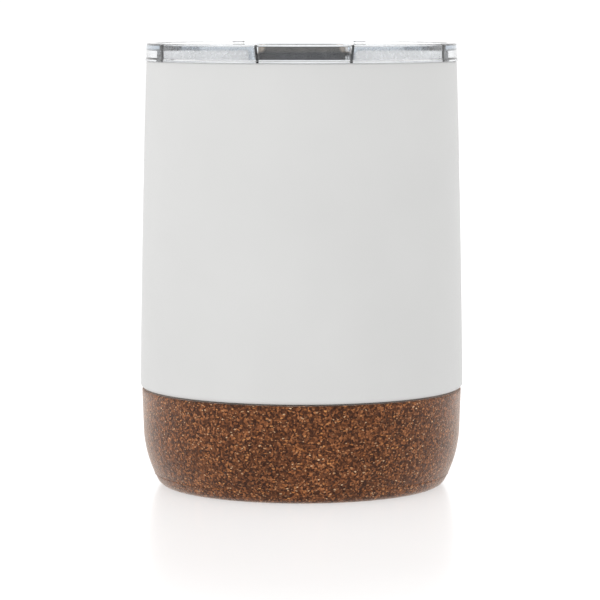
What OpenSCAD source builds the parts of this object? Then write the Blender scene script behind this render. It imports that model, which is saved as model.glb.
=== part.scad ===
// Double-wall steel travel mug with a cork base and a clear push-in lid.
// Millimetres. The origin is the centre of the base, on the table. +Z is up and the sipping side faces -Y.

/* [Shell] */
// Diameter of the painted shell just above the cork
body_d = 80; // [79.6:0.2:81]
// Diameter of the painted shell at the mouth
mouth_d = 76.4; // [76:0.1:76.8]
// Height of the mouth's edge above the table
mouth_z = 105; // [104:0.5:110]
// How far the side stands out from a straight taper
side_bow = 0.2; // [0:0.05:0.4]
// Height of the shell's lower edge
shell_z = 24.5; // [23:0.5:27]
// Rounding of the shell's lower edge
shell_edge_r = 1; // [0.8:0.1:1.4]
// Sheet thickness of the shell
shell_t = 0.6; // [0.5:0.05:0.6]
// Diameter of the sleeve that goes down into the cork
sleeve_d = 72.8; // [72:0.2:73.4]

/* [Liner] */
// Bore at the mouth, where the lid pushes in
bore_d = 74; // [73.8:0.1:74]
// Bore just below the shoulder
cup_d = 66.8; // [65:0.2:68]
// Bore just above the bottom corner
cup_low_d = 65.2; // [64:0.2:66]
// Height of the cup's floor above the table
cup_floor_z = 11; // [10:0.5:14]
// Radius of the cup's bottom corner
cup_corner_r = 6; // [4:0.5:8]
// Depth of the wide mouth above the shoulder
mouth_depth = 10.65; // [10.4:0.05:11.4]
// Sheet thickness of the liner
liner_t = 0.5; // [0.4:0.05:0.5]

/* [Cork] */
// Diameter of the cork at its upper edge
cork_d = 79.2; // [78.6:0.1:79.4]
// Height at which the cork starts to curve in
cork_curve_z = 15.4; // [14:0.2:17]
// Radius of the cork's curved side
cork_curve_r = 29; // [27:0.5:32]
// Rounding where the side meets the table
cork_foot_r = 3; // [1.4:0.1:3.4]
// Thickness of the cork under the steel
cork_floor_t = 3; // [2.5:0.1:3.5]

/* [Lid] */
// Height of the clear band above the mouth's edge
band_h = 4.35; // [4.2:0.05:5]
// Outer diameter of the clear band
band_d = 76.4; // [76:0.1:76.8]
// Wall of the clear band
band_t = 2.3; // [2:0.1:2.6]
// How far the deck lies below the top of the band
deck_drop = 0.45; // [0.2:0.05:0.5]
// Place of the deck's front wall behind the sipping edge, as a Y value
deck_front_y = -8; // [-10:0.5:-7]
// Rounding of the two corners where the deck's front wall runs into the band
well_corner_r = 6; // [4:0.5:7]
// Depth of the skirt below the lid's floor
skirt_h = 8.1; // [7.8:0.1:8.4]
// Length of the drink hole, across the lid
drink_w = 16; // [12:0.5:16.5]
// Width of the drink hole
drink_l = 7; // [5:0.5:7.5]

/* [Slider] */
// Width of the slider's block
slider_w = 21.2; // [20.4:0.1:21.4]
// Length of the slider's block
slider_l = 20; // [19:0.5:20.5]
// Travel of the slider from closed to open
slider_travel = 15.5; // [12:0.5:15.5]
// Depth of the finger scoop in the slider
scoop_depth = 1.8; // [1:0.1:2]

/* [Hidden] */
$fn = 96;
eps = 0.5; // overlap that joins the pieces of one moulding

// Shell
body_r = body_d / 2;
mouth_r = mouth_d / 2;
sleeve_r = sleeve_d / 2;
sleeve_corner_r = 1.2;
lip_round_r = 0.4;
side_steps = 10;

// Cork
cork_r = cork_d / 2;
cork_top_z = shell_z - 0.25;
cork_edge_r = 0.5;
cork_flare = 0.3; // the cork is this much narrower where its curve starts
cork_curve_x = cork_r - cork_flare - cork_curve_r;
cork_foot_a = asin((cork_foot_r - cork_curve_z) / (cork_curve_r - cork_foot_r));
cork_foot_x = cork_curve_x + (cork_curve_r - cork_foot_r) * cos(cork_foot_a);
cork_bore_r = sleeve_r + 0.2;
glue_t = 0.3;
glue_r = 33;

// Bottom cap of the vacuum space
steel_z = cork_floor_t + glue_t;
cap_r = sleeve_r - shell_t;
cap_rim_h = 3.6;
cap_corner_r = 1.6;
cap_dish_r = 12;
cap_dish_h = 1.7;
seal_hole_r = 1;
seal_bead_r = 2.8;
seal_bead_h = 0.9;
getter_r = 4;
getter_h = 2.4;
getter_x = 21;

// Liner
bore_r = bore_d / 2;
cup_r = cup_d / 2;
cup_low_r = cup_low_d / 2;
shoulder_z = mouth_z - mouth_depth;
shoulder_r = 2;
shoulder_a = 60;
lip_h = 0.75;
liner_lip_r = mouth_r - shell_t;

// Lid
lid_z = mouth_z + 0.05; // underside of the band
lid_top_z = mouth_z + band_h;
band_r = band_d / 2;
well_r = band_r - band_t;
band_foot_out = 0.25;
band_foot_h = 0.4;
deck_z = lid_top_z - deck_drop;
deck_t = 1.3;
wall_t = 1.4;
weld_h = 0.1;
weld_w = 0.5;
floor_z = lid_z - weld_h;
floor_t = 1.5;
plug_r = bore_r - 0.3;
skirt_r = bore_r - 0.8;
skirt_t = 2.4;
skirt_low_z = floor_z - floor_t - skirt_h;
skirt_round_r = 0.6;
groove_depth = 1.1;
groove_h = 4.8;
groove_low_z = skirt_low_z + 2;

// Slider's channel, and the fences that carry it on to the band as a spout
channel_w = 22;
channel_wall_t = 2;
channel_back_y = deck_front_y + slider_l + slider_travel + 0.5;
fence_t = 0.6;
fence_lean = 0.45; // the fences' tops stand this much further apart than their feet, on each side
fence_front_x = 10.5;
fence_front_y = -34.9;
rib_out = 0.6;
rib_w = 3;
rib_h = 1;
rib_z = floor_z + 1.4;
rib_end = 2; // the ribs stop short of the block's ends by this much
rib_play = 0.2;
corner_y = deck_front_y - well_corner_r;
corner_x = sqrt(pow(well_r - well_corner_r + 0.1, 2) - pow(corner_y, 2));
notch_w = 3.2;
notch_h = 0.25;
notch_depth = 0.9;
notch_a = 25.5; // angle of each notch from +Y

// Slider
slider_z = floor_z + 0.15;
slider_top_z = deck_z - 0.05;
slider_corner_r = 2.4;
scoop_r = 16;
scoop_ribs = 3;
scoop_rib_r = 0.5;
scoop_rib_gap = 3.2;
seal_w = 18.4;
seal_l = 14.4;
seal_t = 0.95;
seal_play = 0.1;
seal_z = floor_z + 0.1;
seal_y = deck_front_y + slider_l / 2 - 2;
drink_y = deck_front_y + 2 + drink_l / 2;
vent_r = 1.1;
vent_y = drink_y + drink_l / 2 + 3.4;

// Points of an arc about (cx, cy), from angle a0 to angle a1
function arc(cx, cy, r, a0, a1, steps = 6) =
    [for (i = [0:steps]) let (a = a0 + (a1 - a0) * i / steps) [cx + r * cos(a), cy + r * sin(a)]];

function backwards(path) = [for (i = [len(path) - 1:-1:0]) path[i]];

// Radius of the painted side at height z
function side_r(z) =
    let (t = (z - shell_z) / (mouth_z - shell_z))
    body_r + (mouth_r - body_r) * t + 4 * side_bow * t * (1 - t);

// Section of the shell's sheet, from the mouth down to the sleeve's end, set in by o
function shell_path(o) =
    let (edge_z = shell_z + shell_edge_r, top_z = mouth_z - lip_round_r)
    concat(
        o == 0 ? arc(mouth_r - lip_round_r, top_z, lip_round_r, 90, 0) : [[mouth_r - o, mouth_z]],
        [for (i = [1:side_steps]) let (z = top_z + (edge_z - top_z) * i / side_steps) [side_r(z) - o, z]],
        arc(side_r(edge_z) - shell_edge_r, edge_z, shell_edge_r - o, 0, -90),
        arc(sleeve_r + sleeve_corner_r, shell_z - sleeve_corner_r, sleeve_corner_r + o, 90, 180),
        [[sleeve_r - o, steel_z]]
    );

// Section of the liner's sheet, from the mouth down to the centre of its floor, set out by o
function liner_path(o) =
    let (
        upper = arc(bore_r - shoulder_r, shoulder_z, shoulder_r + o, 0, -shoulder_a),
        upper_end = [bore_r - shoulder_r * (1 - cos(shoulder_a)), shoulder_z - shoulder_r * sin(shoulder_a)],
        lower_x = cup_r + shoulder_r,
        lower_start = lower_x - shoulder_r * cos(shoulder_a),
        drop = (upper_end[0] - lower_start) / tan(shoulder_a),
        lower_z = upper_end[1] - drop - shoulder_r * sin(shoulder_a),
        lower = arc(lower_x, lower_z, shoulder_r - o, 180 - shoulder_a, 180),
        corner_z = cup_floor_z + cup_corner_r
    )
    concat(
        upper,
        lower,
        arc(cup_low_r - cup_corner_r, corner_z, cup_corner_r + o, 0, -90, 10),
        [[0, cup_floor_z - o]]
    );

// Outline of a rectangle with rounded corners, centred on the origin
function rounded_rect(w, l, r) =
    let (x = w / 2 - r, y = l / 2 - r)
    concat(arc(x, y, r, 0, 90), arc(-x, y, r, 90, 180), arc(-x, -y, r, 180, 270), arc(x, -y, r, 270, 360));

// Cork granulate cup that the steel body is glued into
module cork_base() {
    color([0.36, 0.20, 0.13])
    rotate_extrude()
    polygon(concat(
        [[0, 0]],
        arc(cork_foot_x, cork_foot_r, cork_foot_r, -90, cork_foot_a),
        arc(cork_curve_x, cork_curve_z, cork_curve_r, cork_foot_a, 0, 14),
        arc(cork_r - cork_edge_r, cork_top_z - cork_edge_r, cork_edge_r, 0, 90),
        [[cork_bore_r + sleeve_corner_r, cork_top_z], [cork_bore_r, cork_top_z - sleeve_corner_r]],
        [[cork_bore_r, cork_floor_t], [0, cork_floor_t]]
    ));
}

// Layer of glue between the cork and the steel bottom
module base_adhesive() {
    color([0.75, 0.70, 0.55])
    translate([0, 0, cork_floor_t])
    cylinder(h = glue_t, r = glue_r);
}

// Painted outer shell, drawn in at its foot to a sleeve
module outer_shell() {
    color([0.88, 0.88, 0.87])
    rotate_extrude()
    polygon(concat(shell_path(0), backwards(shell_path(shell_t))));
}

// Steel cap that closes the vacuum space, dished up round the sealing hole
module shell_bottom() {
    color([0.68, 0.69, 0.70])
    rotate_extrude()
    polygon(concat(
        [[seal_hole_r, steel_z + cap_dish_h], [cap_dish_r - cap_dish_h, steel_z + cap_dish_h]],
        [[cap_dish_r, steel_z]],
        arc(cap_r - cap_corner_r, steel_z + cap_corner_r, cap_corner_r, -90, 0),
        [[cap_r, steel_z + cap_rim_h], [cap_r - shell_t, steel_z + cap_rim_h]],
        arc(cap_r - cap_corner_r, steel_z + cap_corner_r, cap_corner_r - shell_t, 0, -90),
        [
            [cap_dish_r + shell_t / 2, steel_z + shell_t],
            [cap_dish_r - cap_dish_h + shell_t / 2, steel_z + cap_dish_h + shell_t],
            [seal_hole_r, steel_z + cap_dish_h + shell_t]
        ]
    ));
}

// Bead of solder glass that seals the evacuation hole
module vacuum_seal_plug() {
    color([0.35, 0.36, 0.34])
    translate([0, 0, steel_z + cap_dish_h])
    rotate_extrude()
    polygon(concat(
        [[0, -seal_bead_h]],
        arc(seal_bead_r - seal_bead_h, 0, seal_bead_h, -90, 0),
        [[seal_hole_r, 0], [seal_hole_r, shell_t], [0, shell_t]]
    ));
}

// Gas-absorbing tablet spot-welded inside the vacuum space
module getter() {
    color([0.45, 0.45, 0.47])
    translate([getter_x, 0, steel_z + shell_t])
    cylinder(h = getter_h, r = getter_r);
}

// Bare steel cup with the wide mouth and the shoulder that the lid's skirt ends above
module inner_liner() {
    color([0.74, 0.75, 0.76])
    rotate_extrude()
    polygon(concat(
        [[liner_lip_r, mouth_z]],
        arc(bore_r + lip_round_r / 2, mouth_z - lip_round_r / 2, lip_round_r / 2, 90, 180),
        liner_path(0),
        backwards(liner_path(liner_t)),
        [[bore_r + liner_t, mouth_z - lip_h], [liner_lip_r, mouth_z - lip_h]]
    ));
}

// Lower half of the lid: its floor, with the drink hole and the vent, and the grooved skirt
module lid_plug() {
    groove_r = skirt_r - groove_depth;
    color([0.86, 0.89, 0.92, 0.45])
    difference() {
        rotate_extrude()
        polygon(concat(
            [[0, floor_z], [well_r + weld_w / 2, floor_z], [well_r + weld_w / 2, lid_z]],
            [[well_r + weld_w, lid_z], [well_r + weld_w, floor_z]],
            [[plug_r, floor_z], [plug_r, floor_z - floor_t], [skirt_r, floor_z - floor_t]],
            [[skirt_r, groove_low_z + groove_h], [groove_r, groove_low_z + groove_h]],
            [[groove_r, groove_low_z], [skirt_r, groove_low_z]],
            arc(skirt_r - skirt_round_r, skirt_low_z + skirt_round_r, skirt_round_r, 0, -90),
            arc(skirt_r - skirt_t + skirt_round_r, skirt_low_z + skirt_round_r, skirt_round_r, -90, -180),
            [[skirt_r - skirt_t, floor_z - floor_t], [0, floor_z - floor_t]]
        ));
        translate([0, drink_y, floor_z - floor_t - 1])
        linear_extrude(floor_t + 2)
        drink_outline();
        translate([0, vent_y, floor_z - floor_t - 1])
        cylinder(h = floor_t + 2, r = vent_r);
    }
}

// Round-ended outline of the drink hole
module drink_outline() {
    end_x = (drink_w - drink_l) / 2;
    square([2 * end_x, drink_l], center = true);
    for (side = [-1, 1])
        translate([side * end_x, 0])
        circle(d = drink_l);
}

// Upper half of the lid: the band, the raised deck, the slider's channel and the spout's fences
module lid_cap() {
    color([0.88, 0.91, 0.94, 0.45])
    difference() {
        union() {
            band();
            translate([0, 0, deck_z - deck_t])
            linear_extrude(deck_t)
            deck_outline();
            translate([0, 0, lid_z])
            linear_extrude(deck_z - lid_z)
            walls_outline();
            for (side = [0, 1])
                mirror([side, 0, 0])
                fence();
        }
        rail_grooves();
        rim_notches();
    }
}

module band() {
    round_out = 0.5;
    round_in = 0.35;
    rotate_extrude()
    polygon(concat(
        [[well_r, lid_z], [band_r + band_foot_out, lid_z]],
        [[band_r + band_foot_out, lid_z + band_foot_h], [band_r, lid_z + 2 * band_foot_h]],
        arc(band_r - round_out, lid_top_z - round_out, round_out, 0, 90),
        arc(well_r + round_in, lid_top_z - round_in, round_in, 90, 180)
    ));
}

// Plan of the raised deck, open at the front and over the channel
module deck_outline() {
    difference() {
        circle(r = well_r + eps);
        translate([-band_r, deck_front_y - 2 * band_r])
        square([2 * band_r, 2 * band_r]);
        translate([-channel_w / 2, deck_front_y - 1])
        square([channel_w, channel_back_y - deck_front_y + 1]);
    }
    for (side = [0, 1])
        mirror([side, 0])
        well_corner();
}

// Plan of what the rounding leaves between the front wall and the band, on the +X side
module well_corner() {
    out = (well_r + 2) / norm([corner_x, corner_y]);
    difference() {
        intersection() {
            circle(r = well_r + eps);
            polygon([
                [corner_x, corner_y],
                [corner_x, deck_front_y + wall_t],
                [band_r, deck_front_y + wall_t],
                [out * corner_x, out * corner_y]
            ]);
        }
        translate([corner_x, corner_y])
        circle(r = well_corner_r);
    }
}

// Plan of the deck's front wall, with its rounded ends, and of the channel's walls
module walls_outline() {
    outer_x = channel_w / 2 + channel_wall_t;
    intersection() {
        circle(r = well_r + eps);
        union() {
            for (side = [0, 1])
                mirror([side, 0]) {
                    translate([channel_w / 2, deck_front_y])
                    square([corner_x - channel_w / 2 + eps, wall_t]);
                    translate([channel_w / 2, deck_front_y])
                    square([channel_wall_t, channel_back_y + wall_t - deck_front_y]);
                    intersection() {
                        well_corner();
                        translate([corner_x, corner_y])
                        circle(r = well_corner_r + wall_t);
                    }
                }
            translate([-outer_x, channel_back_y])
            square([2 * outer_x, wall_t]);
        }
    }
}

// Leaning fence along the +X side of the spout, from the channel's wall to the band
module fence() {
    back_y = deck_front_y + eps;
    foot = [
        [channel_w / 2, back_y],
        [fence_front_x, fence_front_y],
        [fence_front_x + fence_t, fence_front_y],
        [channel_w / 2 + fence_t, back_y]
    ];
    h = deck_z - lid_z;
    translate([0, 0, lid_z])
    multmatrix([[1, 0, fence_lean / h, 0], [0, 1, 0, 0], [0, 0, 1, 0], [0, 0, 0, 1]])
    linear_extrude(h)
    polygon(foot);
}

// Grooves in the channel's side walls for the slider's ribs
module rail_grooves() {
    groove_x = channel_w / 2 + rib_out + rib_play;
    groove_y = deck_front_y + rib_end - rib_play;
    groove_l = slider_l - 2 * rib_end + slider_travel + 2 * rib_play;
    translate([-groove_x, groove_y, rib_z - rib_play])
    cube([2 * groove_x, groove_l, rib_h + 2 * rib_play]);
}

// Two thumbnail notches inside the back of the band
module rim_notches() {
    for (side = [-1, 1])
        rotate([0, 0, 90 + side * notch_a])
        translate([well_r - 1, -notch_w / 2, lid_top_z - notch_h])
        cube([1 + notch_depth, notch_w, notch_h + 1]);
}

// Silicone ring with three fins, which grips the bore
module lid_gasket() {
    fins = 3;
    play = 0.2;
    in_r = skirt_r - groove_depth + play;
    base_r = skirt_r - 0.2;
    fin_r = bore_r - play;
    low_z = groove_low_z + play;
    pitch = (groove_h - 2 * play) / fins;
    color([0.93, 0.93, 0.92])
    rotate_extrude()
    polygon(concat(
        [[in_r, low_z]],
        [for (i = [0:fins - 1], p = [[base_r, 0], [base_r, 0.35], [fin_r, 0.6], [fin_r, 0.8], [base_r, 1]])
            [p[0], low_z + pitch * (i + p[1])]],
        [[in_r, low_z + pitch * fins]]
    ));
}

// Sliding block with a finger scoop, carried by a rib along each side
module lid_slider() {
    mid_y = deck_front_y + slider_l / 2;
    scoop_z = slider_top_z + scoop_r - scoop_depth;
    color([0.24, 0.25, 0.26])
    difference() {
        union() {
            difference() {
                translate([0, mid_y, slider_z])
                linear_extrude(slider_top_z - slider_z)
                polygon(rounded_rect(slider_w, slider_l, slider_corner_r));
                translate([-slider_w, mid_y, scoop_z])
                rotate([0, 90, 0])
                cylinder(h = 2 * slider_w, r = scoop_r);
            }
            for (side = [-1, 1])
                translate([side * (channel_w / 2 + rib_out - rib_w / 2), mid_y, rib_z + rib_h / 2])
                cube([rib_w, slider_l - 2 * rib_end, rib_h], center = true);
            for (i = [0:scoop_ribs - 1])
                scoop_rib(mid_y + (i - (scoop_ribs - 1) / 2) * scoop_rib_gap, mid_y, scoop_z);
        }
        translate([0, seal_y, slider_z - 1])
        linear_extrude(seal_z + seal_t - slider_z + 1)
        polygon(rounded_rect(seal_w + 2 * seal_play, seal_l + 2 * seal_play, slider_corner_r));
    }
}

// Half-round grip rib lying across the scoop at y
module scoop_rib(y, mid_y, scoop_z) {
    z = scoop_z - sqrt(pow(scoop_r, 2) - pow(y - mid_y, 2));
    translate([-slider_w / 4, y, z])
    rotate([0, 90, 0])
    cylinder(h = slider_w / 2, r = scoop_rib_r);
}

// Silicone pad under the slider, which covers the drink hole and the vent when closed
module slider_seal() {
    color([0.85, 0.85, 0.84])
    translate([0, seal_y, seal_z])
    linear_extrude(seal_t)
    polygon(rounded_rect(seal_w, seal_l, slider_corner_r));
}

cork_base();
base_adhesive();
outer_shell();
shell_bottom();
vacuum_seal_plug();
getter();
inner_liner();
lid_plug();
lid_cap();
lid_gasket();
lid_slider();
slider_seal();
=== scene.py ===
"""Insulated travel mug: satin painted steel, a cork base and a clear push-in lid, on a pale floor."""
import math

import bmesh
import bpy
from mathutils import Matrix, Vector, noise


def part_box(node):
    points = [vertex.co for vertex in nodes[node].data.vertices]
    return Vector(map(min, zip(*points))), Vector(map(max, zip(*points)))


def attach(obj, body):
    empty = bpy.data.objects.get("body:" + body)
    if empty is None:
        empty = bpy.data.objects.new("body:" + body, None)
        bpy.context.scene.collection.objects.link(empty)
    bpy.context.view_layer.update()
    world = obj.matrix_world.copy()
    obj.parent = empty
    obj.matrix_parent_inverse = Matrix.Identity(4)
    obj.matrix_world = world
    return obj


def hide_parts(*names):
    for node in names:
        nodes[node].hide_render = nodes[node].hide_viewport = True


MM = 0.001
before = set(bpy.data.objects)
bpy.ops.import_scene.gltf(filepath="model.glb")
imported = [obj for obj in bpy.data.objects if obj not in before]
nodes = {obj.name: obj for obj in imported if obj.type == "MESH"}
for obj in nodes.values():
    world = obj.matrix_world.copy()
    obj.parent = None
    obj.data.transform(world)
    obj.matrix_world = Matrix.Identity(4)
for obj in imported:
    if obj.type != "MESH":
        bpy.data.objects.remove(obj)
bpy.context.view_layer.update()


# ---------------------------------------------------------------- shader helpers

def srgb(r, g, b):
    """Scene-linear RGBA of an sRGB colour given as 0 to 255."""
    def linear(v):
        v /= 255
        return v / 12.92 if v <= 0.04045 else ((v + 0.055) / 1.055) ** 2.4
    return (linear(r), linear(g), linear(b), 1.0)


class Shader:
    """A material's node tree, with its Principled shader already in place."""

    def __init__(self, name, **settings):
        self.mat = bpy.data.materials.new(name)
        self.mat.use_nodes = True
        self.tree = self.mat.node_tree
        self.main = self.tree.nodes["Principled BSDF"]
        for key, value in settings.items():
            self.main.inputs[key.replace("_", " ")].default_value = value
        coords = self.add("ShaderNodeTexCoord")
        self.place = coords.outputs["Object"]

    def add(self, kind, **settings):
        made = self.tree.nodes.new(kind)
        for key, value in settings.items():
            setattr(made, key, value)
        return made

    def link(self, out, into):
        self.tree.links.new(out, into)

    def mapped(self, scale, turn=(0, 0, 0)):
        """The object's coordinates, scaled by axis."""
        made = self.add("ShaderNodeMapping")
        self.link(self.place, made.inputs["Vector"])
        made.inputs["Scale"].default_value = scale
        made.inputs["Rotation"].default_value = turn
        return made.outputs["Vector"]

    def noise(self, scale, detail=3.0, rough=0.55, at=None, distort=0.0):
        made = self.add("ShaderNodeTexNoise")
        self.link(at or self.place, made.inputs["Vector"])
        made.inputs["Scale"].default_value = scale
        made.inputs["Detail"].default_value = detail
        made.inputs["Roughness"].default_value = rough
        made.inputs["Distortion"].default_value = distort
        return made

    def cells(self, scale, at=None, feature="F1"):
        made = self.add("ShaderNodeTexVoronoi", feature=feature)
        self.link(at or self.place, made.inputs["Vector"])
        made.inputs["Scale"].default_value = scale
        return made

    def ramp(self, value, stops):
        """Colours that change evenly between stops of (value, colour)."""
        made = self.add("ShaderNodeValToRGB")
        elements = made.color_ramp.elements
        while len(elements) < len(stops):
            elements.new(0.5)
        for element, (at, colour) in zip(elements, stops):
            element.position = at
            element.color = colour if len(colour) == 4 else (*colour, 1.0)
        self.link(value, made.inputs["Fac"])
        return made.outputs["Color"]

    def grey(self, value, low, high, start=0.0, end=1.0):
        """A number that runs from low to high as value runs from start to end."""
        made = self.add("ShaderNodeMapRange")
        self.link(value, made.inputs["Value"])
        for key, number in (("From Min", start), ("From Max", end), ("To Min", low), ("To Max", high)):
            made.inputs[key].default_value = number
        return made.outputs["Result"]

    def math(self, what, a, b=None):
        made = self.add("ShaderNodeMath", operation=what)
        for socket, value in zip(made.inputs, (a, b)):
            if isinstance(value, (int, float)):
                socket.default_value = value
            elif value is not None:
                self.link(value, socket)
        return made.outputs["Value"]

    def mix(self, how_much, a, b, blend="MIX"):
        made = self.add("ShaderNodeMix", data_type="RGBA", blend_type=blend)
        for socket, value in zip((made.inputs[0], made.inputs[6], made.inputs[7]), (how_much, a, b)):
            if isinstance(value, (int, float, tuple)):
                socket.default_value = value
            else:
                self.link(value, socket)
        return made.outputs[2]

    def bump(self, height, distance, strength=1.0, after=None):
        made = self.add("ShaderNodeBump")
        made.inputs["Distance"].default_value = distance
        made.inputs["Strength"].default_value = strength
        self.link(height, made.inputs["Height"])
        if after is not None:
            self.link(after, made.inputs["Normal"])
        self.link(made.outputs["Normal"], self.main.inputs["Normal"])
        return made.outputs["Normal"]

    def colour(self, out):
        self.link(out, self.main.inputs["Base Color"])

    def roughness(self, out):
        self.link(out, self.main.inputs["Roughness"])


# ---------------------------------------------------------------- materials

def paint_material():
    """Satin powder coat: an off-white with a fine pebbled texture."""
    s = Shader("satin_paint", Metallic=0.0)
    s.main.inputs["IOR"].default_value = 1.45
    cloud = s.noise(38, 2.0)
    s.colour(s.ramp(cloud.outputs["Fac"], [(0.3, srgb(205, 205, 204)), (0.7, srgb(208, 208, 207))]))
    grain = s.noise(2600, 2.0)
    s.roughness(s.grey(grain.outputs["Fac"], 0.40, 0.56, 0.3, 0.7))
    pebble = s.noise(1500, 3.0, 0.5)
    s.bump(pebble.outputs["Fac"], 0.018 * MM, 0.6)
    return s.mat


# Chips of the granulate: cells per metre along three axes, the turn of those axes, and the share that shows
FLAKES = [
    ((900, 1500, 1900), (0.3, 0.5, 0.7), 0.24),
    ((1700, 1100, 1900), (0.9, 1.9, 0.4), 0.22),
    ((1500, 1900, 900), (2.2, 0.4, 1.3), 0.26),
    ((1300, 1300, 2300), (1.2, 2.6, 2.1), 0.14),
]
FLAKE_TONES = [
    [(0.0, srgb(128, 76, 40)), (0.6, srgb(172, 108, 60)), (1.0, srgb(206, 142, 86))],
    [(0.0, srgb(116, 68, 40)), (0.6, srgb(150, 96, 60)), (1.0, srgb(192, 142, 100))],
    [(0.0, srgb(52, 28, 18)), (0.6, srgb(76, 44, 27)), (1.0, srgb(100, 62, 40))],
    [(0.0, srgb(48, 36, 34)), (0.5, srgb(164, 116, 78)), (1.0, srgb(228, 188, 148))],
]


def cork_material():
    """Dark cork granulate: pressed chips of mixed browns, with pale flecks and dark seams."""
    s = Shader("cork_granulate")
    s.main.inputs["IOR"].default_value = 1.4
    s.main.inputs["Specular IOR Level"].default_value = 0.25
    s.main.inputs["Sheen Weight"].default_value = 1.0
    s.main.inputs["Sheen Roughness"].default_value = 0.36
    s.main.inputs["Sheen Tint"].default_value = (1.0, 0.88, 0.80, 1.0)
    warp = s.noise(620, 2.0)
    shifted = s.add("ShaderNodeVectorMath", operation="MULTIPLY_ADD")
    s.link(warp.outputs["Color"], shifted.inputs[0])
    shifted.inputs[1].default_value = (0.9 * MM,) * 3
    s.link(s.place, shifted.inputs[2])
    at = shifted.outputs["Vector"]

    crumbs = s.cells(2100, at)
    crumb_tone = s.add("ShaderNodeSeparateColor")
    s.link(crumbs.outputs["Color"], crumb_tone.inputs["Color"])
    base = s.ramp(crumb_tone.outputs["Green"], [
        (0.0, srgb(50, 24, 12)), (0.3, srgb(74, 41, 22)), (0.6, srgb(100, 58, 32)),
        (0.85, srgb(132, 80, 47)), (1.0, srgb(164, 106, 66)),
    ])
    seams = s.cells(2100, at, "DISTANCE_TO_EDGE")
    seam = s.grey(seams.outputs["Distance"], 0.6, 1.0, 0.0, 0.12)
    lift = seam
    for k, (stretch, turn, share) in enumerate(FLAKES):
        flakes_at = s.add("ShaderNodeMapping")
        s.link(at, flakes_at.inputs["Vector"])
        flakes_at.inputs["Rotation"].default_value = turn
        flakes_at.inputs["Scale"].default_value = stretch
        flakes = s.cells(1.0, flakes_at.outputs["Vector"])
        tone = s.add("ShaderNodeSeparateColor")
        s.link(flakes.outputs["Color"], tone.inputs["Color"])
        chosen = s.grey(tone.outputs["Red"], 0.0, 1.0, 1.0 - share, 1.0 - share + 0.01)
        inside = s.grey(flakes.outputs["Distance"], 1.0, 0.0, 0.30, 0.42)
        mask = s.math("MULTIPLY", chosen, inside)
        flake = s.ramp(tone.outputs["Blue"], FLAKE_TONES[k])
        base = s.mix(mask, base, flake)
        lift = s.math("ADD", lift, s.math("MULTIPLY", mask, 0.5))
    tone = s.noise(95, 2.0)
    cloud = s.grey(tone.outputs["Fac"], 0.92, 1.18, 0.3, 0.7)
    shade = s.math("MULTIPLY", seam, cloud)
    grey = s.add("ShaderNodeCombineColor")
    for channel in ("Red", "Green", "Blue"):
        s.link(shade, grey.inputs[channel])
    s.colour(s.mix(1.0, base, grey.outputs["Color"], "MULTIPLY"))
    s.roughness(s.grey(crumb_tone.outputs["Blue"], 0.6, 0.85))
    fine = s.noise(3400, 3.0, 0.6)
    first = s.bump(lift, 0.05 * MM, 0.8)
    s.bump(fine.outputs["Fac"], 0.03 * MM, 0.7, first)
    return s.mat


# Where the clear lid's matt texture lies
BAND_DEPTH = 2.9 * MM  # inwards from the lid's side
DECK_DEPTH = 0.65 * MM  # down from the lid's top
SPOUT_HALF = 12.2 * MM  # half the spout's width, with its fences
EDGE_BLEND = 0.05 * MM


def clear_material():
    """Clear moulded plastic: polished, with hair-fine marks, and matt on the walls beside the spout."""
    s = Shader("clear_moulding")
    s.main.inputs["IOR"].default_value = 1.52
    s.main.inputs["Transmission Weight"].default_value = 1.0
    haze = s.noise(160, 4.0, 0.6)
    s.colour(s.ramp(haze.outputs["Fac"], [
        (0.3, (0.972, 0.975, 0.980)), (0.7, (0.985, 0.987, 0.990)),
    ]))
    marks = s.noise(9, 5.0, 0.7, at=s.mapped((60, 900, 260), (0.4, 0.9, 0.3)))
    polished = s.grey(marks.outputs["Fac"], 0.015, 0.09, 0.45, 0.75)
    spark = s.noise(1700, 2.0)
    matt = s.grey(spark.outputs["Fac"], 0.22, 0.34, 0.3, 0.7)
    flat = s.add("ShaderNodeVectorMath", operation="MULTIPLY")
    s.link(s.place, flat.inputs[0])
    flat.inputs[1].default_value = (1.0, 1.0, 0.0)
    radius = s.add("ShaderNodeVectorMath", operation="LENGTH")
    s.link(flat.outputs["Vector"], radius.inputs[0])
    (_, _, _), (side, _, top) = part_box("lid_cap")
    split = s.add("ShaderNodeSeparateXYZ")
    s.link(s.place, split.inputs[0])
    inner = side - BAND_DEPTH
    deck = top - DECK_DEPTH
    inside = s.grey(radius.outputs["Value"], 1.0, 0.0, inner - EDGE_BLEND, inner + EDGE_BLEND)
    out = s.math("ABSOLUTE", split.outputs["X"])
    beside = s.grey(out, 0.4, 1.0, SPOUT_HALF - 2 * EDGE_BLEND, SPOUT_HALF + 2 * EDGE_BLEND)
    below = s.grey(split.outputs["Z"], 1.0, 0.0, deck - EDGE_BLEND, deck + EDGE_BLEND)
    textured = s.math("MULTIPLY", inside, s.math("MULTIPLY", beside, below))
    blend = s.add("ShaderNodeMix", data_type="FLOAT")
    s.link(textured, blend.inputs[0])
    s.link(polished, blend.inputs[2])
    s.link(matt, blend.inputs[3])
    s.roughness(blend.outputs[0])
    flow = s.noise(210, 2.0)
    s.bump(flow.outputs["Fac"], 0.02 * MM, 0.35)
    depth = s.add("ShaderNodeVolumeAbsorption")
    depth.inputs["Color"].default_value = (0.50, 0.58, 0.66, 1.0)
    depth.inputs["Density"].default_value = 26.0
    s.link(depth.outputs["Volume"], s.tree.nodes["Material Output"].inputs["Volume"])
    return s.mat


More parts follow.
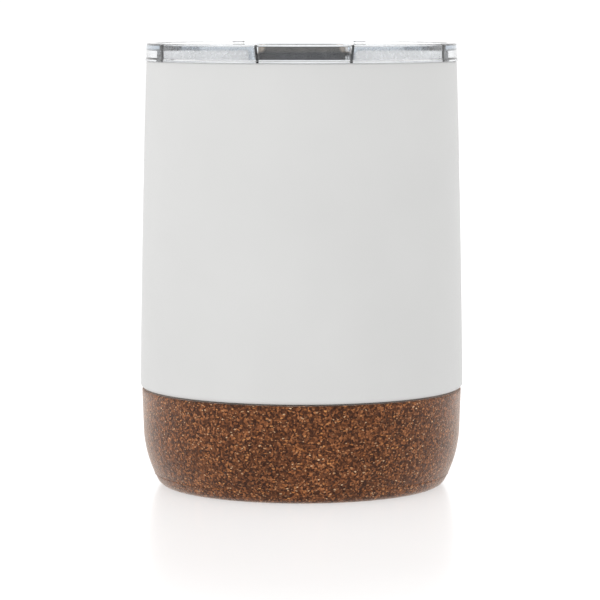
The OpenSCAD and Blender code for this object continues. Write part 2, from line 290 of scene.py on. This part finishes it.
def plug_material():
    """Milky moulded plastic: bright and half see-through, with a spark texture."""
    s = Shader("milky_moulding")
    s.main.inputs["IOR"].default_value = 1.5
    s.main.inputs["Transmission Weight"].default_value = 0.25
    cloud = s.noise(120, 3.0)
    s.colour(s.ramp(cloud.outputs["Fac"], [(0.3, srgb(240, 242, 244)), (0.7, srgb(247, 248, 249))]))
    spark = s.noise(1700, 2.0)
    s.roughness(s.grey(spark.outputs["Fac"], 0.35, 0.5, 0.3, 0.7))
    s.bump(spark.outputs["Fac"], 0.01 * MM, 0.5)
    return s.mat


BLOCK_HALF = 10.4 * MM  # about half the slider block's width


def slider_material():
    """Dark smoke moulded plastic, with painted light: a lighter painted tone on its upper half, a darker
    painted shade below, and painted highlights at its upper corners.
    """
    s = Shader("smoke_moulding")
    s.main.inputs["IOR"].default_value = 1.5
    s.main.inputs["Specular IOR Level"].default_value = 0.25
    (_, _, low), (_, _, high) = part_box("lid_slider")
    split = s.add("ShaderNodeSeparateXYZ")
    s.link(s.place, split.inputs[0])
    cloud = s.noise(260, 4.0, 0.6, distort=0.4)
    # Painted light: the block's upper half takes a lighter tone and its lower half a darker shade tone
    painted_shade_tone = s.ramp(cloud.outputs["Fac"], [(0.3, srgb(16, 19, 26)), (0.7, srgb(38, 41, 48))])
    painted_lit_tone = s.ramp(cloud.outputs["Fac"], [(0.3, srgb(50, 50, 50)), (0.7, srgb(80, 77, 73))])
    middle = (low + high) / 2
    painted_upper_light = s.grey(split.outputs["Z"], 0.0, 1.0, middle, middle + 0.6 * MM)
    body = s.mix(painted_upper_light, painted_shade_tone, painted_lit_tone)
    # Painted highlight: a pale beige patch on the block's upper corners, where its rounded corners catch
    # the light
    out = s.math("ABSOLUTE", split.outputs["X"])
    corner = s.math("ADD", out, s.math("MULTIPLY", split.outputs["Z"], 0.5))
    edge = BLOCK_HALF + high * 0.5
    lit = s.grey(corner, 0.0, 0.85, edge - 1.9 * MM, edge - 1.1 * MM)
    s.colour(s.mix(s.math("MULTIPLY", painted_upper_light, lit), body, srgb(186, 172, 158)))
    rub = s.noise(640, 4.0, 0.65)
    s.roughness(s.grey(rub.outputs["Fac"], 0.14, 0.36, 0.35, 0.7))
    grain = s.noise(2400, 2.0)
    s.bump(grain.outputs["Fac"], 0.008 * MM, 0.5)
    return s.mat


def steel_material():
    """Bare stainless steel, brushed round the axis."""
    s = Shader("brushed_steel", Metallic=1.0)
    split = s.add("ShaderNodeSeparateXYZ")
    s.link(s.place, split.inputs[0])
    around = s.add("ShaderNodeVectorMath", operation="NORMALIZE")
    flat = s.add("ShaderNodeCombineXYZ")
    s.link(split.outputs["X"], flat.inputs["X"])
    s.link(split.outputs["Y"], flat.inputs["Y"])
    s.link(flat.outputs[0], around.inputs[0])
    length = s.add("ShaderNodeVectorMath", operation="LENGTH")
    s.link(flat.outputs[0], length.inputs[0])
    turn = s.add("ShaderNodeSeparateXYZ")
    s.link(around.outputs["Vector"], turn.inputs[0])
    lines_at = s.add("ShaderNodeCombineXYZ")
    s.link(s.math("MULTIPLY", turn.outputs["X"], 0.7), lines_at.inputs["X"])
    s.link(s.math("MULTIPLY", turn.outputs["Y"], 0.7), lines_at.inputs["Y"])
    along = s.math("ADD", split.outputs["Z"], length.outputs["Value"])
    s.link(s.math("MULTIPLY", along, 1400.0), lines_at.inputs["Z"])
    lines = s.noise(2.2, 3.0, 0.6, at=lines_at.outputs[0])
    s.colour(s.ramp(lines.outputs["Fac"], [(0.3, srgb(190, 191, 192)), (0.7, srgb(214, 214, 214))]))
    s.roughness(s.grey(lines.outputs["Fac"], 0.24, 0.42, 0.3, 0.7))
    s.bump(lines.outputs["Fac"], 0.01 * MM, 0.5)
    return s.mat


def silicone_material(name, low, high):
    """Soft silicone between two tones, with a dusty bloom."""
    s = Shader(name)
    s.main.inputs["IOR"].default_value = 1.41
    s.main.inputs["Subsurface Weight"].default_value = 0.3
    s.main.inputs["Subsurface Radius"].default_value = (1.2 * MM, 1.1 * MM, 1.0 * MM)
    s.main.inputs["Subsurface Scale"].default_value = 1.0
    s.main.inputs["Sheen Weight"].default_value = 0.1
    bloom = s.noise(340, 3.0)
    s.colour(s.ramp(bloom.outputs["Fac"], [(0.3, low), (0.7, high)]))
    s.roughness(s.grey(bloom.outputs["Fac"], 0.42, 0.62, 0.3, 0.7))
    grain = s.noise(2600, 2.0)
    s.bump(grain.outputs["Fac"], 0.01 * MM, 0.5)
    return s.mat


def glue_material():
    """Hardened amber glue with small bubbles."""
    s = Shader("glue")
    s.main.inputs["IOR"].default_value = 1.5
    bubbles = s.cells(900)
    s.colour(s.ramp(bubbles.outputs["Distance"], [
        (0.05, srgb(222, 208, 170)), (0.5, srgb(196, 178, 132)),
    ]))
    s.roughness(s.grey(bubbles.outputs["Distance"], 0.25, 0.5))
    s.bump(bubbles.outputs["Distance"], 0.04 * MM, 0.6)
    return s.mat


def solder_material():
    """Grey-green solder glass, uneven where it flowed."""
    s = Shader("solder_glass")
    s.main.inputs["IOR"].default_value = 1.7
    flow = s.noise(700, 3.0, distort=0.6)
    s.colour(s.ramp(flow.outputs["Fac"], [(0.3, srgb(58, 62, 56)), (0.7, srgb(92, 96, 86))]))
    s.roughness(s.grey(flow.outputs["Fac"], 0.12, 0.35, 0.3, 0.7))
    s.bump(flow.outputs["Fac"], 0.06 * MM, 0.7)
    return s.mat


def getter_material():
    """Sintered grey metal powder."""
    s = Shader("getter_powder", Metallic=0.6)
    powder = s.cells(3200)
    s.colour(s.ramp(powder.outputs["Distance"], [(0.1, srgb(126, 124, 122)), (0.6, srgb(78, 77, 78))]))
    s.roughness(s.grey(powder.outputs["Distance"], 0.55, 0.85))
    s.bump(powder.outputs["Distance"], 0.03 * MM, 0.8)
    return s.mat


MATERIALS = {
    "outer_shell": paint_material(),
    "cork_base": cork_material(),
    "lid_cap": clear_material(),
    "lid_plug": plug_material(),
    "lid_slider": slider_material(),
    "inner_liner": steel_material(),
    "lid_gasket": silicone_material("white_silicone", srgb(222, 222, 219), srgb(234, 234, 232)),
    "slider_seal": silicone_material("dark_silicone", srgb(46, 46, 48), srgb(58, 58, 61)),
    "base_adhesive": glue_material(),
    "vacuum_seal_plug": solder_material(),
    "getter": getter_material(),
}
MATERIALS["shell_bottom"] = MATERIALS["inner_liner"]


for name, obj in nodes.items():
    for slot in obj.material_slots:
        slot.material = MATERIALS[name]
    if not obj.material_slots:
        obj.data.materials.append(MATERIALS[name])


# ---------------------------------------------------------------- detailed pieces

def new_piece(name, bm, material, smooth_angle=30):
    """A mesh object from bm, smooth except at edges sharper than smooth_angle."""
    mesh = bpy.data.meshes.new(name)
    bm.to_mesh(mesh)
    bm.free()
    mesh.shade_smooth()
    mesh.set_sharp_from_angle(angle=math.radians(smooth_angle))
    mesh.materials.append(material)
    obj = bpy.data.objects.new(name, mesh)
    bpy.context.scene.collection.objects.link(obj)
    return obj


def softened(node, name, width, segments=2, edge_angle=35):
    """A copy of a CAD node's mesh with its outward edges rounded to width, in metres."""
    bm = bmesh.new()
    bm.from_mesh(nodes[node].data)
    bmesh.ops.remove_doubles(bm, verts=bm.verts, dist=0.001 * MM)
    bmesh.ops.dissolve_limit(bm, angle_limit=math.radians(0.5), verts=bm.verts, edges=bm.edges)
    bmesh.ops.recalc_face_normals(bm, faces=bm.faces)
    limit = math.radians(edge_angle)
    sharp = [e for e in bm.edges if len(e.link_faces) == 2 and e.calc_face_angle_signed() > limit]
    bmesh.ops.bevel(bm, geom=sharp, offset=width, segments=segments, profile=0.5, affect="EDGES",
                    clamp_overlap=True)
    piece = new_piece(name, bm, MATERIALS[node], 50)
    flat = piece.modifiers.new("face_normals", "WEIGHTED_NORMAL")
    flat.mode = "FACE_AREA"
    flat.keep_sharp = True
    return piece


# The cork cup's outline in mm, as in the CAD part: only its look differs
CORK_CURVE_Z = 15.4
CORK_CURVE_R = 29.0
CORK_FOOT_R = 3.0
CORK_EDGE_R = 0.5
CORK_FLARE = 0.3
CORK_BORE_R = 36.6
CORK_FLOOR_T = 3.0
CORK_CHAMFER = 1.2
CORK_TURNS = 720  # points round the cup
FOOT_STEPS, CURVE_STEPS, SIDE_STEPS, EDGE_STEPS = 12, 44, 24, 5
PLAIN_R = 31.0  # the base is left smooth inside this radius
CENTRE_R = 0.02  # radius of the tiny face that closes each end at the axis
CORK_SEED = 7  # not 0, which would seed the chips' warp from the clock


def cork_profile():
    """The cork cup's section from the base's centre out, up and back down inside, as (r, z) in mm."""
    (_, _, _), (side, _, top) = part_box("cork_base")
    r_max, top = side / MM, top / MM
    waist_r = r_max - CORK_FLARE
    curve_x = waist_r - CORK_CURVE_R
    foot_a = math.asin((CORK_FOOT_R - CORK_CURVE_Z) / (CORK_CURVE_R - CORK_FOOT_R))
    foot_x = curve_x + (CORK_CURVE_R - CORK_FOOT_R) * math.cos(foot_a)

    def arc(cx, cz, r, a0, a1, steps):
        angles = [a0 + (a1 - a0) * i / steps for i in range(steps + 1)]
        return [(cx + r * math.cos(a), cz + r * math.sin(a)) for a in angles]

    outside = [(r, 0.0) for r in (CENTRE_R, 8, 16, 22, 27, 30, 32)]
    outside += arc(foot_x, CORK_FOOT_R, CORK_FOOT_R, -math.pi / 2, foot_a, FOOT_STEPS)
    outside += arc(curve_x, CORK_CURVE_Z, CORK_CURVE_R, foot_a, 0, CURVE_STEPS)[1:]
    straight_end = top - CORK_EDGE_R
    for i in range(1, SIDE_STEPS + 1):
        share = i / SIDE_STEPS
        outside.append((waist_r + CORK_FLARE * share, CORK_CURVE_Z + (straight_end - CORK_CURVE_Z) * share))
    outside += arc(r_max - CORK_EDGE_R, straight_end, CORK_EDGE_R, 0, math.pi / 2, EDGE_STEPS)[1:]
    inside = [(CORK_BORE_R + CORK_CHAMFER, top), (CORK_BORE_R, top - CORK_CHAMFER)]
    inside += [(CORK_BORE_R, CORK_FLOOR_T), (CENTRE_R, CORK_FLOOR_T)]
    return outside, inside


def cork_piece():
    """The cork cup, with its chips standing proud of the seams between them and a few lost chips."""
    noise.seed_set(CORK_SEED)
    outside, inside = cork_profile()
    bm = bmesh.new()
    rings = []
    for k, (r, z) in enumerate(outside + inside):
        ring = []
        before = outside[max(k - 1, 0)] if k < len(outside) else None
        after = outside[min(k + 1, len(outside) - 1)] if k < len(outside) else None
        for i in range(CORK_TURNS):
            a = 2 * math.pi * i / CORK_TURNS
            place = Vector((r * math.cos(a), r * math.sin(a), z))
            if before is not None and r > PLAIN_R:
                along = Vector((after[0] - before[0], 0, after[1] - before[1])).normalized()
                inward = Vector((-along.z * math.cos(a), -along.z * math.sin(a), along.x))
                place += inward * cork_depth(place)
                place.z = max(place.z, 0.0)
            ring.append(bm.verts.new(place * MM))
        rings.append(ring)
    for low, high in zip(rings, rings[1:]):
        for i in range(CORK_TURNS):
            j = (i + 1) % CORK_TURNS
            bm.faces.new((low[i], low[j], high[j], high[i]))
    bm.faces.new(list(reversed(rings[0])))
    bm.faces.new(rings[-1])
    piece = new_piece("cork_cup", bm, MATERIALS["cork_base"], 40)
    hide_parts("cork_base")
    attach(piece, "mug")


CHIPS_PER_MM = 0.8
SEAM_DEPTH, LEVEL_DEPTH, LOST_DEPTH = 0.045, 0.03, 0.16  # mm
LOST_ABOVE = 0.86  # a chip whose level is above this is missing


def cork_depth(place):
    """How far the surface lies under the mould's face at a place, in mm."""
    warp = noise.noise_vector(place * 0.55) * 0.7
    spans, points = noise.voronoi((place + warp) * CHIPS_PER_MM)
    from_seam = spans[1] - spans[0]
    seam = max(0.0, 1 - from_seam * 4.5)
    level = 0.5 + 0.5 * noise.noise(points[0] * 7.3)
    lost = LOST_DEPTH if level > LOST_ABOVE else 0.0
    return SEAM_DEPTH * seam + LEVEL_DEPTH * level + lost * min(1.0, from_seam * 3)


cork_piece()

block = softened("lid_slider", "lid_slider_block", 0.12 * MM, 2)
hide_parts("lid_slider")
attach(block, "slider")


# ---------------------------------------------------------------- floor, light and camera

def floor():
    """A softly lit table: white, with a faint reflection and hardly any shadow."""
    bm = bmesh.new()
    bmesh.ops.create_circle(bm, cap_ends=True, segments=96, radius=1.6)
    s = Shader("pale_floor", Specular_IOR_Level=0.16, Emission_Strength=0.55)
    s.main.inputs["Emission Color"].default_value = (1.0, 1.0, 1.0, 1.0)
    mottle = s.noise(14, 3.0)
    s.colour(s.ramp(mottle.outputs["Fac"], [(0.3, (0.36, 0.36, 0.36)), (0.7, (0.37, 0.37, 0.37))]))
    s.roughness(s.grey(mottle.outputs["Fac"], 0.19, 0.20, 0.3, 0.7))
    made = new_piece("floor", bm, s.mat)


def panel(name, place, target, size, power):
    """A soft square light at place that faces target."""
    light = bpy.data.lights.new(name, "AREA")
    light.size = size
    light.energy = power
    made = bpy.data.objects.new(name, light)
    bpy.context.scene.collection.objects.link(made)
    made.location = place
    made.rotation_euler = (Vector(target) - Vector(place)).to_track_quat("-Z", "Y").to_euler()


floor()

world = bpy.data.worlds.new("studio")
bpy.context.scene.world = world
world.use_nodes = True
world.node_tree.nodes["Background"].inputs["Color"].default_value = (1, 1, 1, 1)
world.node_tree.nodes["Background"].inputs["Strength"].default_value = 1.06

panel("key_left", (-0.9, -0.7, 0.6), (0, 0, 0.06), 0.8, 2.0)
panel("top", (0.0, 0.1, 1.4), (0, 0, 0.05), 1.4, 7.0)

LENS = 189.42  # mm, on a 36 mm sensor
REACH = 0.780  # from the mug's axis to the camera, in metres
EYE_HEIGHT = 0.1196
LOOK_DOWN = 0.0944  # radians
TURN = math.radians(-1.1)
TRIM = 0.00049  # small turn of the camera alone that centres the mug

camera = bpy.data.objects.new("camera", bpy.data.cameras.new("camera"))
bpy.context.scene.collection.objects.link(camera)
camera.data.lens = LENS
camera.data.sensor_width = 36
camera.data.clip_start = 0.05
camera.data.clip_end = 100
camera.location = (REACH * math.sin(TURN), -REACH * math.cos(TURN), EYE_HEIGHT)
camera.rotation_euler = (math.pi / 2 - LOOK_DOWN, 0, TURN + TRIM)
bpy.context.scene.camera = camera
bpy.context.scene.view_settings.view_transform = "Standard"
